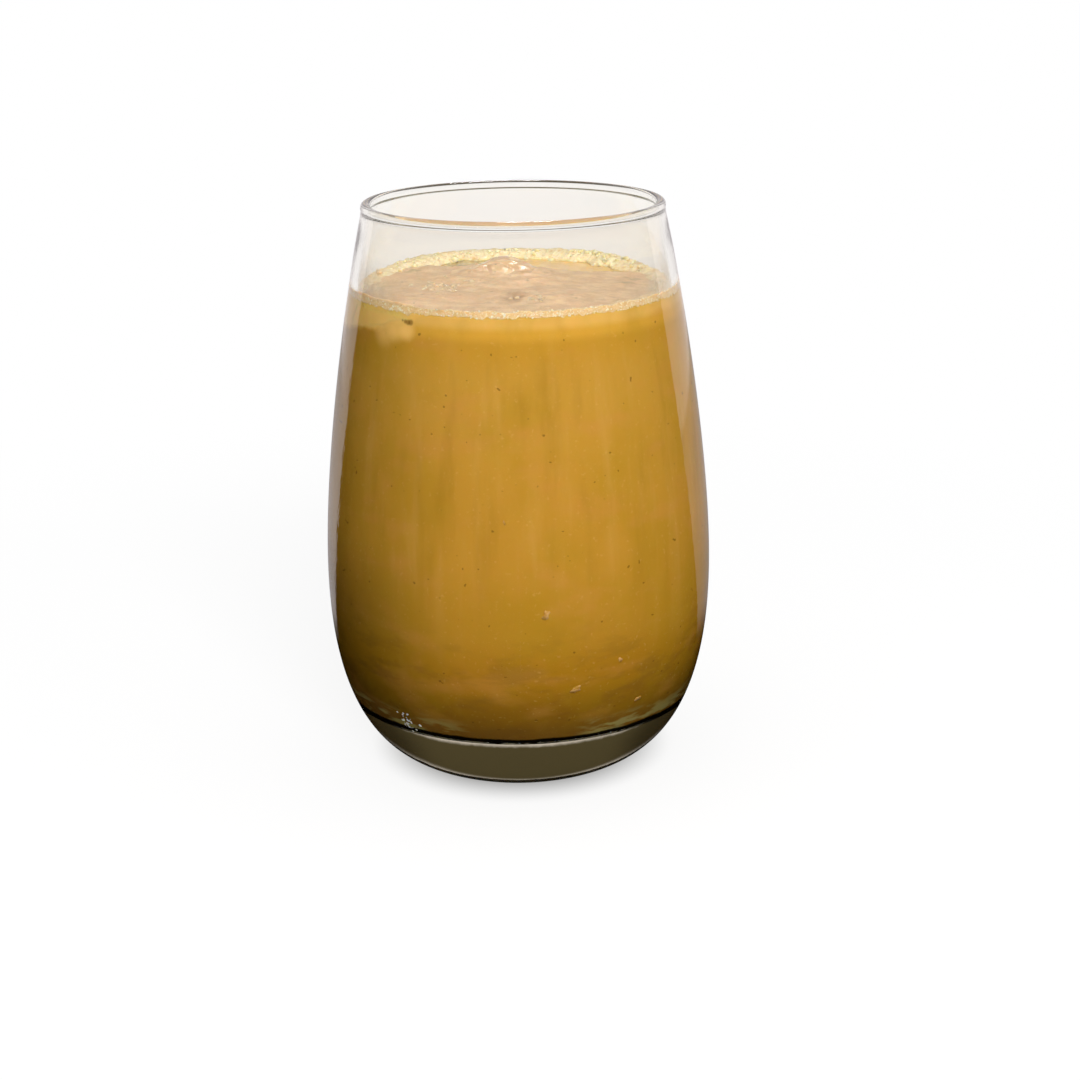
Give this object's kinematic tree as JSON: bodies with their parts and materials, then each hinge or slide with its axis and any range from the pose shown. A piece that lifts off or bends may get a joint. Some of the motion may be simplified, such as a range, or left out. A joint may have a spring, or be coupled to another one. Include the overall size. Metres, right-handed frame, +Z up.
{
  "type": "iced latte in a stemless glass",
  "caption": "Iced milky coffee with a ring of froth and half-melted ice cubes floating in it, in a round-bellied stemless tumbler with a thick clear base.",
  "frame": {"origin": "centre of the foot, on the surface that the glass stands on", "axes": "+Z up along the glass's axis of revolution; -Y is the front, where the left ice cube shows on the -X side"},
  "size_m": [0.079, 0.079, 0.115],
  "materials": {
    "glass": "clear soda-lime glass with a faint olive-grey tint, fire-polished",
    "latte": "opaque milky coffee, wet",
    "froth": "fine pale milk froth",
    "ice": "wet half-melted ice under a film of milky coffee"
  },
  "bodies": {
    "root": {"glass": "glass", "latte": "latte", "froth": "froth", "ice_left": "ice", "ice_middle": "ice", "ice_front": "ice"}
  },
  "joints": []
}
